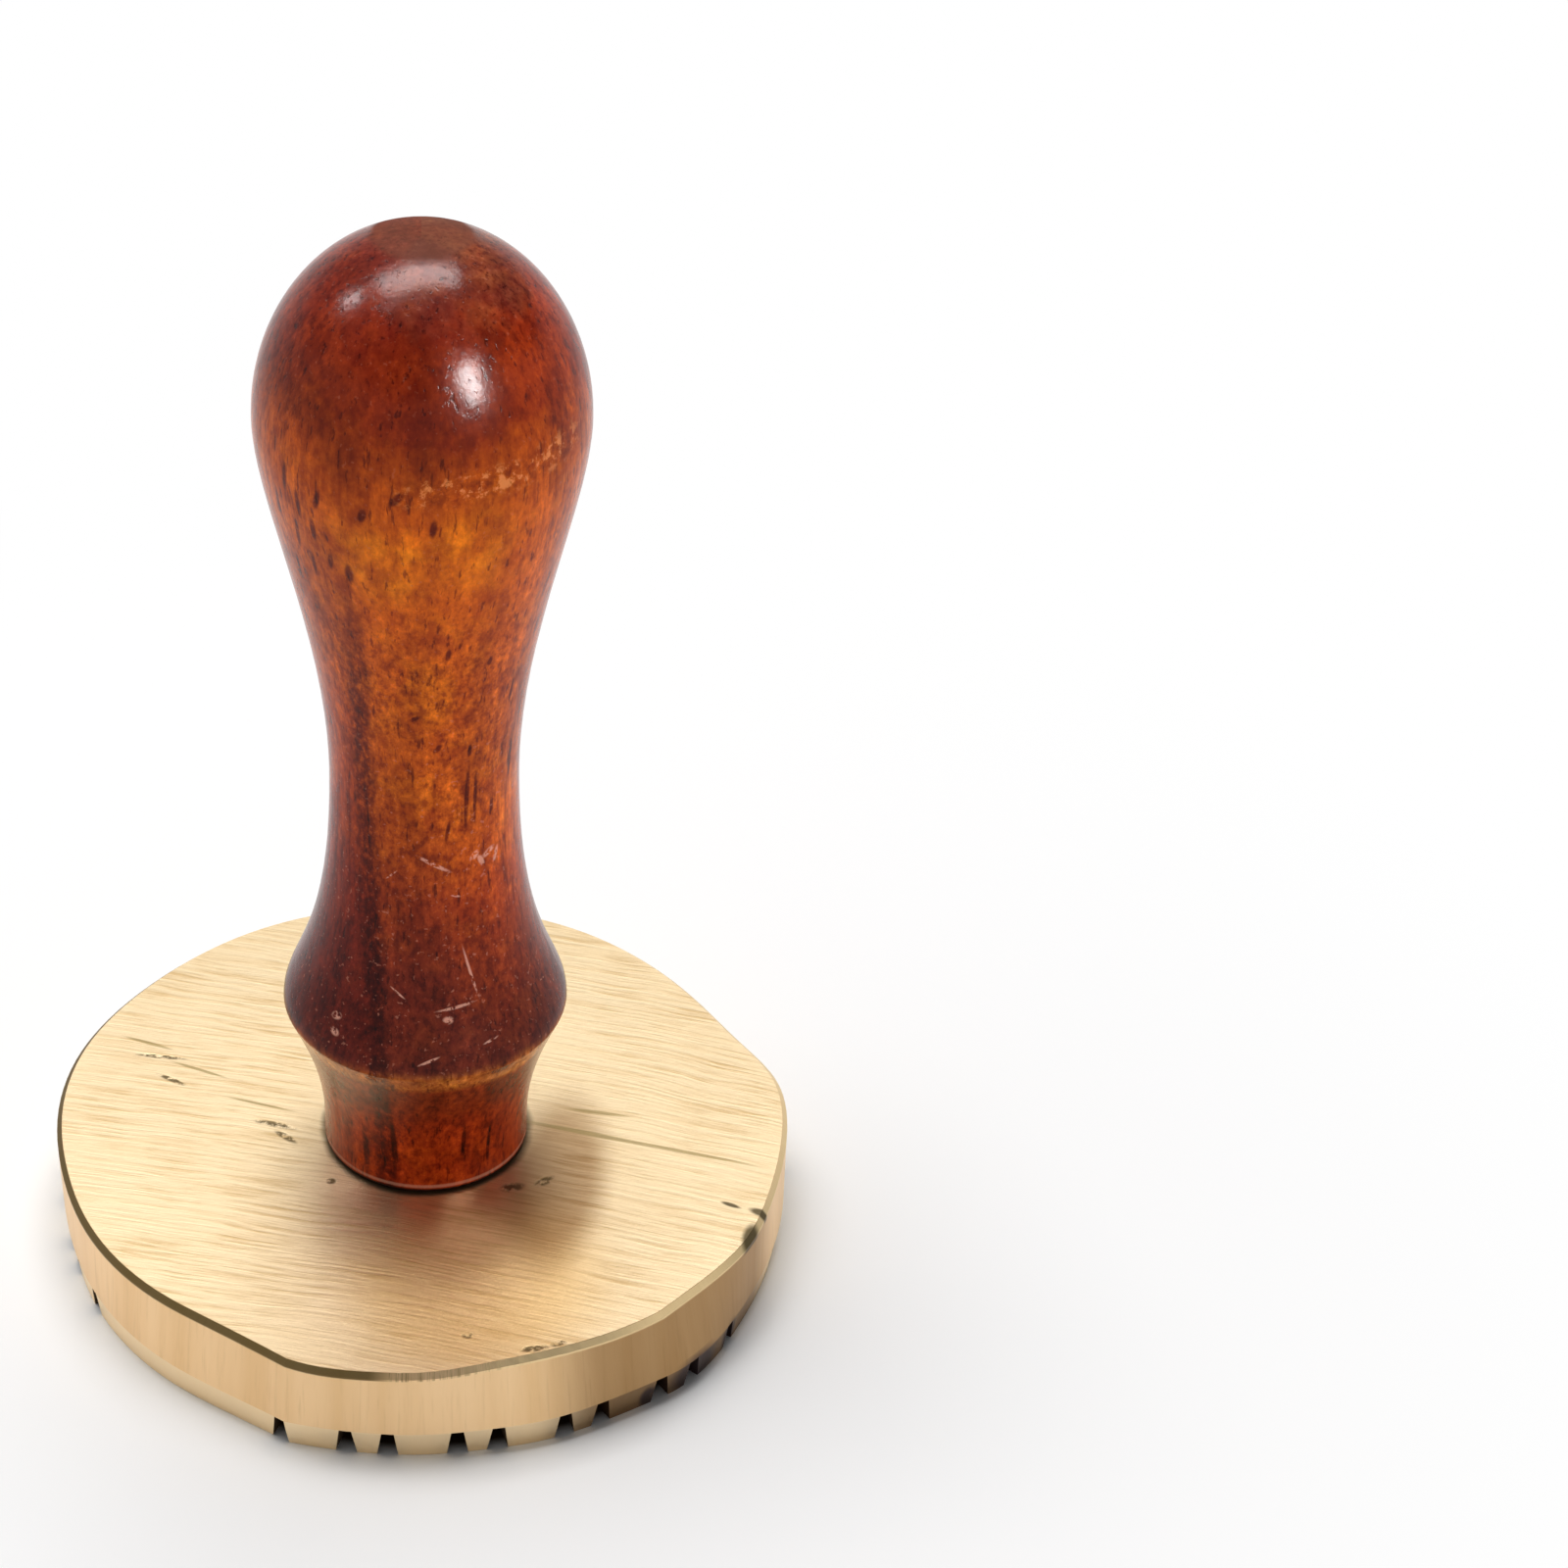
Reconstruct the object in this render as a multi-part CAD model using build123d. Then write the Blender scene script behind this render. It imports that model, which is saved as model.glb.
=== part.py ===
from build123d import *
import math
import os

# Clay stamp: an engraved brass die plate and a turned wooden handle that screws onto it.
# Millimetres. The origin is the middle of the stamping face, and +Z runs up the handle.

# Clearances and the overrun that every cut takes past the faces it leaves
THREAD_CLEARANCE = 0.05
GLUE_CLEARANCE = 0.05
CUT_OVERRUN = 1.0

# Die plate: a disc sawn and filed by hand, so its rim is uneven and has two corners
PLATE_RADIUS = 32.0
PLATE_THICKNESS = 6.5
RIM_CHAMFER = 0.45
# Rows of azimuth in degrees, then the rim's distance from the axis at the foot and at the top
# of the side, as shares of the plate radius. The front stretch runs from corner to corner.
RIM_FRONT_SHARES = (
    (248.5, 1.020, 1.009), (254, 1.014, 1.013), (262, 1.009, 1.006), (270, 1.006, 1.000),
    (278, 1.001, 0.981), (287, 1.005, 0.973), (297, 1.003, 0.979), (309, 1.015, 0.989),
)
RIM_REST_SHARES = (
    (315, 1.018, 0.982), (322, 1.007, 0.985), (330, 0.993, 0.991), (342, 0.985, 0.982),
    (352, 0.985, 0.983), (0, 0.988, 0.991), (12, 0.990, 0.993), (24, 0.952, 0.953),
    (33, 0.946, 0.947), (44, 0.959, 0.960), (62, 0.987, 0.988), (90, 1.006, 1.007),
    (120, 1.014, 1.018), (140, 1.008, 1.013), (160, 1.014, 1.020), (176, 1.000, 1.009),
    (188, 0.988, 0.996), (203, 0.989, 0.992), (216, 0.991, 0.986), (226, 0.990, 0.976),
    (234, 0.988, 0.970), (241, 0.995, 0.980),
)

# Tapped hole in the die plate
HOLE_FLOOR = 1.1
HOLE_COUNTERSINK = 0.4

# Relief under the plate: a toothed border in three runs, plain arcs between them, a ring
# and an eight-petalled rosette. Its walls lean by the draft angle, and the widths and angles
# below hold at the stamping face. The inset is the border's distance from the rim at its root.
RELIEF_DEPTH = 2.7
RELIEF_DRAFT_ANGLE = 8
RELIEF_INSET = 0.12
RUN_COUNT = 3
RUN_AZIMUTH = 286
EGG_COUNT = 5
EGG_ANGLE = 7.4
DART_ANGLE = 3.8
GAP_ANGLE = 2.8
EGG_LENGTH = 5.6
DART_LENGTH = 4.6
ARC_WIDTH = 2.4
RING_RADIUS = 22.6
RING_WIDTH = 1.2
PETAL_COUNT = 8
PETAL_START = 6.6
PETAL_LENGTH = 13.2
PETAL_WIDTH = 5.4
PETAL_STROKE = 1.1
BEAD_RADIUS = 1.0
BEAD_REACH = 18.2
BOSS_RADIUS = 5.0

# Threaded stud: a metric set screw, half in the plate and half in the handle
STUD_RADIUS = 3.0
STUD_LENGTH = 16.0
STUD_TIP_CLEARANCE = 0.3
THREAD_PITCH = 1.0
# The thread's form: its flanks' angle, and its depth and crest as shares of the pitch
THREAD_FLANK_ANGLE = 30
THREAD_DEPTH_SHARE = 0.613
THREAD_CREST_SHARE = 0.125
STUD_CHAMFER = 0.6
SOCKET_ACROSS_FLATS = 3.0
SOCKET_DEPTH = 3.2

# Threaded insert, glued and pressed into the foot of the handle
INSERT_RADIUS = 4.8
INSERT_LENGTH = 12.5
INSERT_RECESS = 0.3
INSERT_CHAMFER = 0.5
BARB_COUNT = 4
BARB_DEPTH = 0.45
SLOT_WIDTH = 1.2
SLOT_DEPTH = 1.4

# Handle: heights are measured from the face of its foot
HANDLE_LENGTH = 90.2
FOOT_RADIUS = 8.8
FOOT_STRAIGHT = 2.0
FOOT_ROUNDING = 0.4
BULB_RADIUS = 12.15
BULB_HEIGHT = 15.2
BULB_ROUNDING = 0.6
WAIST_RADIUS = 7.9
WAIST_HEIGHT = 39.0
HEAD_RADIUS = 13.6
HEAD_HEIGHT = 74.0
PILOT_RUNOUT = 2.5
# How far each curve of the outline keeps its direction, as shares of its own height
FLARE_START_SHARE = 0.38
FLARE_PULL_SHARES = (0.46, 0.70)
SHOULDER_SHARES = (0.135, 0.74)
NECK_SHARES = (0.405, 0.20)
DOME_SHARE = 0.552

# Places that follow from the sizes above
RELIEF_LEAN = RELIEF_DEPTH * math.tan(math.radians(RELIEF_DRAFT_ANGLE))
BORDER_RADIUS = PLATE_RADIUS - RELIEF_INSET - RELIEF_LEAN
PLATE_TOP = RELIEF_DEPTH + PLATE_THICKNESS
HOLE_DEPTH = PLATE_THICKNESS - HOLE_FLOOR
HOLE_RADIUS = STUD_RADIUS + THREAD_CLEARANCE
STUD_BOTTOM = PLATE_TOP - HOLE_DEPTH + STUD_TIP_CLEARANCE
STUD_REACH = STUD_BOTTOM + STUD_LENGTH - PLATE_TOP

# How a turned solid stands on the point where it is placed
STANDING = (Align.CENTER, Align.CENTER, Align.MIN)


def rim_points(rows, level, inset):
    """The points of a stretch of the rim, at the foot of the side (1) or at its top (2)."""
    points = []
    for row in rows:
        turn = math.radians(row[0])
        reach = PLATE_RADIUS * row[level] - inset
        points.append((reach * math.cos(turn), reach * math.sin(turn)))
    return points


def rim_outline(level, inset):
    """The outline of the plate at one level, drawn in by the inset."""
    front = rim_points(RIM_FRONT_SHARES, level, inset)
    rest = rim_points(RIM_REST_SHARES, level, inset)
    return make_face([Spline(*front), Spline(front[-1], *rest, front[0])])


def rim_blank():
    """The disc with its leaning side and the chamfer round its top edge."""
    foot = Pos(0, 0, RELIEF_DEPTH) * rim_outline(1, 0)
    shoulder = Pos(0, 0, PLATE_TOP - RIM_CHAMFER) * rim_outline(2, 0)
    top = Pos(0, 0, PLATE_TOP) * rim_outline(2, RIM_CHAMFER)
    return loft([foot, shoulder, top], ruled=True)


def egg(azimuth):
    """A block of the border with a round inner end."""
    outer = PLATE_RADIUS + CUT_OVERRUN
    width = 2 * BORDER_RADIUS * math.sin(math.radians(EGG_ANGLE / 2))
    inner = BORDER_RADIUS - EGG_LENGTH + width / 2
    block = Pos((inner + outer) / 2, 0) * Rectangle(outer - inner, width)
    return Rot(0, 0, azimuth) * (block + Pos(inner, 0) * Circle(width / 2))


def dart(azimuth):
    """A wedge of the border that points to the middle."""
    outer = PLATE_RADIUS + CUT_OVERRUN
    half = BORDER_RADIUS * math.sin(math.radians(DART_ANGLE / 2))
    tip = BORDER_RADIUS - DART_LENGTH
    wedge = make_face(Polyline((tip, 0), (outer, -half), (outer, half), close=True))
    return Rot(0, 0, azimuth) * wedge


def plain_arc(azimuth, angle):
    """A smooth stretch of the border, as a slice of the disc."""
    reach = 2 * PLATE_RADIUS
    turn = math.radians(angle / 2)
    corner = (reach, reach * math.tan(turn))
    slice_face = make_face(Polyline((0, 0), (corner[0], -corner[1]), corner, close=True))
    return Rot(0, 0, azimuth) * slice_face - Circle(BORDER_RADIUS - ARC_WIDTH)


def border():
    """Three toothed runs of eggs and darts, and three plain arcs between them."""
    step = (EGG_ANGLE + DART_ANGLE) / 2 + GAP_ANGLE
    run_angle = EGG_COUNT * (EGG_ANGLE + GAP_ANGLE) + (EGG_COUNT - 1) * (DART_ANGLE + GAP_ANGLE)
    run_angle = run_angle + GAP_ANGLE
    spacing = 360 / RUN_COUNT
    shape = Sketch()
    for run in range(RUN_COUNT):
        middle = RUN_AZIMUTH + run * spacing
        for place in range(EGG_COUNT):
            turn = (2 * place - EGG_COUNT + 1) * step
            shape += egg(middle + turn)
        for place in range(EGG_COUNT - 1):
            turn = (2 * place - EGG_COUNT + 2) * step
            shape += dart(middle + turn)
        shape += plain_arc(middle + spacing / 2, spacing - run_angle)
    return shape


def border_envelope():
    """What the border's outer walls keep to: the rim's outline, drawn in towards the face."""
    face = rim_outline(1, RELIEF_INSET + RELIEF_LEAN)
    root = Pos(0, 0, RELIEF_DEPTH) * rim_outline(1, RELIEF_INSET)
    return loft([face, root], ruled=True)


def lens(half_length, half_width):
    """The outline that two equal arcs enclose."""
    ends = ((-half_length, 0), (half_length, 0))
    lower = SagittaArc(ends[0], ends[1], half_width)
    upper = SagittaArc(ends[1], ends[0], half_width)
    return make_face([lower, upper])


def petal():
    """One petal of the rosette, drawn as a line of even width."""
    half_length = PETAL_LENGTH / 2
    half_width = PETAL_WIDTH / 2
    arc_radius = (half_length ** 2 + half_width ** 2) / (2 * half_width)
    inner_width = half_width - PETAL_STROKE
    inner_radius = arc_radius - PETAL_STROKE
    inner_length = math.sqrt(inner_radius ** 2 - (inner_radius - inner_width) ** 2)
    line = lens(half_length, half_width) - lens(inner_length, inner_width)
    return Pos(PETAL_START + half_length, 0) * line


def rosette():
    """Petals round a boss, with a bead between each two petals."""
    shape = Sketch() + Circle(BOSS_RADIUS)
    spacing = 360 / PETAL_COUNT
    for place in range(PETAL_COUNT):
        shape += Rot(0, 0, place * spacing) * petal()
        bead = Pos(BEAD_REACH, 0) * Circle(BEAD_RADIUS)
        shape += Rot(0, 0, (place + 0.5) * spacing) * bead
    return shape


def ring():
    """The thin ring between the rosette and the border."""
    return Circle(RING_RADIUS) - Circle(RING_RADIUS - RING_WIDTH)


def engraved(motif):
    """A motif of the relief, with the leaning walls that a tapered cutter leaves."""
    return extrude(motif, amount=RELIEF_DEPTH, taper=-RELIEF_DRAFT_ANGLE)


def die_plate():
    """The brass plate with its relief and its tapped hole."""
    plate = rim_blank()
    plate += engraved(border()) & border_envelope()
    plate += engraved(ring())
    plate += engraved(rosette())
    hole = Cylinder(HOLE_RADIUS, HOLE_DEPTH + CUT_OVERRUN, align=STANDING)
    mouth = Cone(HOLE_RADIUS, HOLE_RADIUS + HOLE_COUNTERSINK, HOLE_COUNTERSINK,
                 align=(Align.CENTER, Align.CENTER, Align.MAX))
    plate -= Pos(0, 0, PLATE_TOP - HOLE_DEPTH) * hole
    plate -= Pos(0, 0, PLATE_TOP) * mouth
    return plate


def ridge_corners(depth):
    """The two corners of the thread's section at this depth below its crest."""
    crest = THREAD_PITCH * THREAD_CREST_SHARE
    half = crest / 2 + depth * math.tan(math.radians(THREAD_FLANK_ANGLE))
    return (STUD_RADIUS - depth, -half), (STUD_RADIUS - depth, half)


def thread_ridge():
    """The helical ridge, sunk a little into the core and a turn longer than the stud at each end."""
    sunk_depth = THREAD_PITCH * (THREAD_DEPTH_SHARE + THREAD_CREST_SHARE)
    crest_low, crest_high = ridge_corners(0)
    sunk_low, sunk_high = ridge_corners(sunk_depth)
    section = make_face(Polyline(sunk_low, crest_low, crest_high, sunk_high, close=True))
    path = Helix(THREAD_PITCH, STUD_LENGTH + 2 * THREAD_PITCH, STUD_RADIUS)
    return sweep(Plane.XZ * section, path=path, is_frenet=True)


def threaded_stud():
    """The set screw: a core, its thread, chamfered ends and a hexagon socket."""
    root = STUD_RADIUS - THREAD_PITCH * THREAD_DEPTH_SHARE
    core = Cylinder(root, STUD_LENGTH + 2 * THREAD_PITCH, align=STANDING)
    bar = Pos(0, 0, -THREAD_PITCH) * (core + thread_ridge())
    envelope = Cylinder(STUD_RADIUS + THREAD_CLEARANCE / 2, STUD_LENGTH, align=STANDING)
    envelope = chamfer(envelope.edges().filter_by(GeomType.CIRCLE), STUD_CHAMFER)
    screw = bar & envelope
    socket = RegularPolygon(SOCKET_ACROSS_FLATS / 2, 6, major_radius=False)
    socket = extrude(socket, amount=SOCKET_DEPTH + CUT_OVERRUN)
    screw -= Pos(0, 0, STUD_LENGTH - SOCKET_DEPTH) * socket
    return Pos(0, 0, STUD_BOTTOM) * screw


def threaded_insert():
    """The barbed bush in the handle's foot."""
    bush = Cylinder(INSERT_RADIUS, INSERT_LENGTH, align=STANDING)
    step = INSERT_LENGTH / (BARB_COUNT + 1)
    waste = Cylinder(INSERT_RADIUS + CUT_OVERRUN, step, align=STANDING)
    waste -= Cone(INSERT_RADIUS, INSERT_RADIUS - BARB_DEPTH, step, align=STANDING)
    for place in range(BARB_COUNT):
        bush -= Pos(0, 0, (place + 1) * step) * waste
    bore = Cylinder(HOLE_RADIUS, INSERT_LENGTH + 2 * CUT_OVERRUN, align=STANDING)
    bush -= Pos(0, 0, -CUT_OVERRUN) * bore
    mouth = Cone(HOLE_RADIUS + INSERT_CHAMFER, HOLE_RADIUS, INSERT_CHAMFER, align=STANDING)
    bush -= mouth
    slot = Box(2 * INSERT_RADIUS + CUT_OVERRUN, SLOT_WIDTH, 2 * SLOT_DEPTH)
    bush -= slot
    return Pos(0, 0, PLATE_TOP + INSERT_RECESS) * bush


def handle_outline():
    """Half of the turned outline, from the middle of the foot round to the top of the head."""
    flare = BULB_HEIGHT - FOOT_STRAIGHT
    spread = BULB_RADIUS - FOOT_RADIUS
    shoulder = WAIST_HEIGHT - BULB_HEIGHT
    neck = HEAD_HEIGHT - WAIST_HEIGHT
    dome = HANDLE_LENGTH - HEAD_HEIGHT
    foot_edge = (FOOT_RADIUS, FOOT_STRAIGHT)
    flare_start = (FOOT_RADIUS, FOOT_STRAIGHT + flare * FLARE_START_SHARE)
    flare_pull = (FOOT_RADIUS + spread * FLARE_PULL_SHARES[0],
                  FOOT_STRAIGHT + flare * FLARE_PULL_SHARES[1])
    bulb = (BULB_RADIUS, BULB_HEIGHT)
    bulb_pull = (BULB_RADIUS, BULB_HEIGHT + shoulder * SHOULDER_SHARES[0])
    waist_pull = (WAIST_RADIUS, WAIST_HEIGHT - shoulder * SHOULDER_SHARES[1])
    waist = (WAIST_RADIUS, WAIST_HEIGHT)
    neck_pull = (WAIST_RADIUS, WAIST_HEIGHT + neck * NECK_SHARES[0])
    head_pull = (HEAD_RADIUS, HEAD_HEIGHT - neck * NECK_SHARES[1])
    head = (HEAD_RADIUS, HEAD_HEIGHT)
    dome_side = (HEAD_RADIUS, HEAD_HEIGHT + dome * DOME_SHARE)
    dome_top = (HEAD_RADIUS * DOME_SHARE, HANDLE_LENGTH)
    top = (0, HANDLE_LENGTH)
    return [
        Line((0, 0), (FOOT_RADIUS, 0)),
        Line((FOOT_RADIUS, 0), foot_edge),
        Bezier(foot_edge, flare_start, flare_pull, bulb),
        Bezier(bulb, bulb_pull, waist_pull, waist),
        Bezier(waist, neck_pull, head_pull, head),
        Bezier(head, dome_side, dome_top, top),
        Line(top, (0, 0)),
    ]


def rings_at(solid, radius):
    """The circular edges of a turned solid that have this radius."""
    circles = solid.edges().filter_by(GeomType.CIRCLE)
    return circles.filter_by(lambda edge: abs(edge.radius - radius) < THREAD_CLEARANCE)


def handle():
    """The turned wooden handle with the stepped hole for the insert and the stud."""
    blank = revolve(Plane.XZ * make_face(handle_outline()), axis=Axis.Z)
    foot_ring = rings_at(blank, FOOT_RADIUS).sort_by(Axis.Z)[0]
    blank = fillet(foot_ring, FOOT_ROUNDING)
    blank = fillet(rings_at(blank, BULB_RADIUS), BULB_ROUNDING)
    pocket_depth = INSERT_RECESS + INSERT_LENGTH
    pilot_depth = STUD_REACH + PILOT_RUNOUT
    pocket = Cylinder(INSERT_RADIUS + GLUE_CLEARANCE, pocket_depth + CUT_OVERRUN, align=STANDING)
    pilot = Cylinder(HOLE_RADIUS, pilot_depth + CUT_OVERRUN, align=STANDING)
    blank -= Pos(0, 0, -CUT_OVERRUN) * pocket
    blank -= Pos(0, 0, -CUT_OVERRUN) * pilot
    return Pos(0, 0, PLATE_TOP) * blank


os.makedirs("parts", exist_ok=True)
pieces = {
    "die_plate": die_plate,
    "threaded_stud": threaded_stud,
    "threaded_insert": threaded_insert,
    "handle": handle,
}
for name, make in pieces.items():
    export_step(make(), f"parts/{name}.step")
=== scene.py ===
import math
from types import SimpleNamespace

import bpy
from mathutils import Matrix, Quaternion, Vector

# Looks for the clay stamp: camera, studio, and a material for each of the four pieces.
# Blender's lengths are metres. Patterns are drawn in millimetres of the model's own frame.

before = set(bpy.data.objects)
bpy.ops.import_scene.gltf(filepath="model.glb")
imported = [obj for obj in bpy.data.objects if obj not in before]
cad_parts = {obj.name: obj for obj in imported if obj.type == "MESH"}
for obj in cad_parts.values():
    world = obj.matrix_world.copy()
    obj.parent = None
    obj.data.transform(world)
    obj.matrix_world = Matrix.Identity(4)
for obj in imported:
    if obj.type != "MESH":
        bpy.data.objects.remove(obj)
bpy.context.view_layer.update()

MM = 0.001
PLATE_TOP = 9.2
PLATE_SHOULDER = 8.75
PLATE_FOOT = 2.7
HANDLE_LENGTH = 90.2

# The photograph's camera: millimetres, degrees, and pixels of a 1600 by 1600 picture
CAMERA_DISTANCE = 480.0
CAMERA_ELEVATION = 39.98
CAMERA_ROLL = -0.42
PICTURE_PIXELS = 1600
FOCAL_PIXELS = 5569.7
AIM_PIXEL = (434.88, 1150.2)
SENSOR_WIDTH = 36.0
CLIP_START = 0.01

WHITE = (1.0, 1.0, 1.0)

# The room around the stamp: its brightness in front and behind, and where it brightens, as a
# direction's share along +Y plus these shares of its -X and +Z
WORLD_FRONT = 0.16
WORLD_BACK = 0.53
ROOM_LEFT_SHARE = 1.1
ROOM_UP_SHARE = 0.3
ROOM_FADE = (-0.1, 1.0)
# The white backdrop that gloss mirrors: how high it fades out, and how much lower in front
BACKDROP_FADE = (0.10, 0.30)
BACKDROP_LOWERED = 0.18
BACKDROP_LOWERED_FADE = (-0.1, 0.2)

# The paper under the stamp: metres for its reach, and millimetres
FLOOR_REACH = 1.2
FLOOR_DROP = 0.02
FLOOR_SHADOW_FADE = (30.2, 31.2)
FLOOR_WHITE_FADE = (42.0, 120.0)
PAPER = (0.94, 0.94, 0.94)
# Painted shadow: the paper's colour under the plate
PAPER_PAINTED_SHADOW = (0.10, 0.06, 0.03)

# Lamps: name, azimuth and elevation in degrees, distance, width and height in metres, radiance
LAMPS = (
    ("overhead", 110, 75, 0.94, 0.88, 0.50, 6.2),
)
# A lamp for the handle alone, lamps that only put glints in its lacquer, and those that only
# the plate mirrors
HANDLE_LAMPS = (
    ("window_right", -51.0, 28, 1.00, 0.20, 0.30, 22.0),
)
HANDLE_GLINTS = (
    ("overhead_glint", 99, 75.0, 0.94, 0.84, 0.28, 24.0),
    ("window_right_glint", -51.0, 28, 1.00, 0.22, 0.34, 130.0),
    ("window_left_glint", 163, 45, 1.00, 0.14, 0.20, 44.0),
)
PLATE_GLINTS = (
    ("window_back_glint", 110, 52, 1.00, 0.44, 0.40, 0.5),
    ("window_side_glint", -12, 36, 1.00, 0.60, 0.44, 1.1),
)

# Where an oval mark fades, as shares of its half length and half width
MARK_FADE = (0.45, 1.0)


class Nodes:
    """Short calls for the nodes of one material or of the world."""

    def __init__(self, tree):
        self.tree = tree

    def add(self, kind, **settings):
        node = self.tree.nodes.new(kind)
        for name, value in settings.items():
            setattr(node, name, value)
        return node

    def put(self, socket, value):
        if isinstance(value, bpy.types.NodeSocket):
            self.tree.links.new(value, socket)
        elif isinstance(value, tuple) and len(value) == 3 and len(socket.default_value) == 4:
            socket.default_value = (*value, 1.0)
        else:
            socket.default_value = value

    def math(self, operation, first, second=0.0):
        node = self.add("ShaderNodeMath", operation=operation)
        self.put(node.inputs[0], first)
        self.put(node.inputs[1], second)
        return node.outputs[0]

    def times(self, *values):
        """The product of two or more numbers."""
        product = values[0]
        for value in values[1:]:
            product = self.math("MULTIPLY", product, value)
        return product

    def plus(self, first, second):
        return self.math("ADD", first, second)

    def minus(self, first, second):
        return self.math("SUBTRACT", first, second)

    def vector(self, operation, first, second=None, output=0):
        node = self.add("ShaderNodeVectorMath", operation=operation)
        self.put(node.inputs[0], first)
        if second is not None:
            self.put(node.inputs[1], second)
        return node.outputs[output]

    def length(self, vector):
        return self.vector("LENGTH", vector, output=1)

    def combine(self, x, y, z=0.0):
        node = self.add("ShaderNodeCombineXYZ")
        for socket, value in zip(node.inputs, (x, y, z)):
            self.put(socket, value)
        return node.outputs[0]

    def separate(self, vector):
        node = self.add("ShaderNodeSeparateXYZ")
        self.put(node.inputs[0], vector)
        return node.outputs[0], node.outputs[1], node.outputs[2]

    def mix(self, share, first, second, blend="MIX"):
        """Two colours, mixed by the share of the second."""
        node = self.add("ShaderNodeMix", data_type="RGBA", blend_type=blend)
        self.put(node.inputs[0], share)
        self.put(node.inputs[6], first)
        self.put(node.inputs[7], second)
        return node.outputs[2]

    def between(self, share, first, second):
        """Two numbers, mixed by the share of the second."""
        node = self.add("ShaderNodeMix", data_type="FLOAT")
        self.put(node.inputs[0], share)
        self.put(node.inputs[2], first)
        self.put(node.inputs[3], second)
        return node.outputs[0]

    def band(self, value, low, high, at_low=0.0, at_high=1.0):
        """A smooth step from one number to another, between two places."""
        node = self.add("ShaderNodeMapRange", interpolation_type="SMOOTHSTEP")
        for socket, item in zip(node.inputs, (value, low, high, at_low, at_high)):
            self.put(socket, item)
        return node.outputs[0]

    def fall(self, value, low, high, at_high=0.0):
        """A smooth step down from 1."""
        return self.band(value, low, high, 1.0, at_high)

    def zone(self, value, low, full, last, high):
        """1 between the two middle places, and 0 outside the outer ones."""
        return self.times(self.band(value, low, full), self.fall(value, last, high))

    def tinted(self, colour, share, factor):
        """The colour, multiplied by a factor where the share is 1."""
        return self.mix(share, colour, factor, "MULTIPLY")

    def toned(self, colour, value, tone, where=1.0):
        """Tints where the value has passed the tone's fade. A tone is a row: where its fade
        starts and ends, its strength, and the factor."""
        low, high, strength, factor = tone
        return self.tinted(colour, self.times(self.band(value, low, high), strength, where), factor)

    def ramp(self, value, stops):
        """A colour that runs through the stops, each a place from 0 to 1 and a colour."""
        node = self.add("ShaderNodeValToRGB")
        self.put(node.inputs[0], value)
        elements = node.color_ramp.elements
        for element, stop in zip(elements, (stops[0], stops[-1])):
            element.position = stop[0]
            element.color = (*stop[1], 1.0)
        for place, colour in stops[1:-1]:
            element = elements.new(place)
            element.color = (*colour, 1.0)
        return node.outputs[0]

    def noise(self, place, scale, detail=2.0, roughness=0.5):
        node = self.add("ShaderNodeTexNoise")
        self.put(node.inputs["Vector"], place)
        self.put(node.inputs["Scale"], scale)
        self.put(node.inputs["Detail"], detail)
        self.put(node.inputs["Roughness"], roughness)
        return node.outputs[0]

    def stretched(self, place, scales, detail=2.0, roughness=0.5):
        """Noise whose grains have a size of their own along each axis."""
        scaled = self.vector("MULTIPLY", place, scales)
        return self.noise(scaled, 1.0, detail, roughness)

    def mark(self, flat_place, x, y, angle, half_length, half_width):
        """An oval mark on a flat map: 1 in its middle, 0 outside."""
        node = self.add("ShaderNodeMapping", vector_type="TEXTURE")
        self.put(node.inputs["Vector"], flat_place)
        node.inputs["Location"].default_value = (x, y, 0)
        node.inputs["Rotation"].default_value = (0, 0, math.radians(angle))
        node.inputs["Scale"].default_value = (half_length, half_width, 1)
        return self.fall(self.length(node.outputs[0]), *MARK_FADE)

    def marks(self, flat_place, rows):
        """Several oval marks on one map."""
        total = None
        for row in rows:
            one = self.mark(flat_place, *row)
            total = one if total is None else self.math("MAXIMUM", total, one)
        return total

    def bump(self, height, strength, distance):
        node = self.add("ShaderNodeBump")
        self.put(node.inputs["Height"], height)
        self.put(node.inputs["Strength"], strength)
        self.put(node.inputs["Distance"], distance * MM)
        return node.outputs[0]

    def light_path(self):
        """Whether the camera looks at this place, and whether gloss or glass shows it."""
        path = self.add("ShaderNodeLightPath").outputs
        mirrored = self.math("MAXIMUM", path["Is Glossy Ray"], path["Is Transmission Ray"])
        return path["Is Camera Ray"], mirrored


def new_material(name):
    """A material, its node calls and its Principled shader."""
    material = bpy.data.materials.new(name)
    material.use_nodes = True
    return material, Nodes(material.node_tree), material.node_tree.nodes["Principled BSDF"]


def set_constants(shader, **values):
    """Sets sockets that are the same all over, named with underlines for spaces."""
    for name, value in values.items():
        shader.inputs[name.replace("_", " ")].default_value = value


def model_place(nodes):
    """The place on the piece, in millimetres of the model's frame, and the face's direction."""
    coordinates = nodes.add("ShaderNodeTexCoord")
    place = nodes.vector("MULTIPLY", coordinates.outputs["Object"], (1 / MM, 1 / MM, 1 / MM))
    return place, coordinates.outputs["Normal"]


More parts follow.
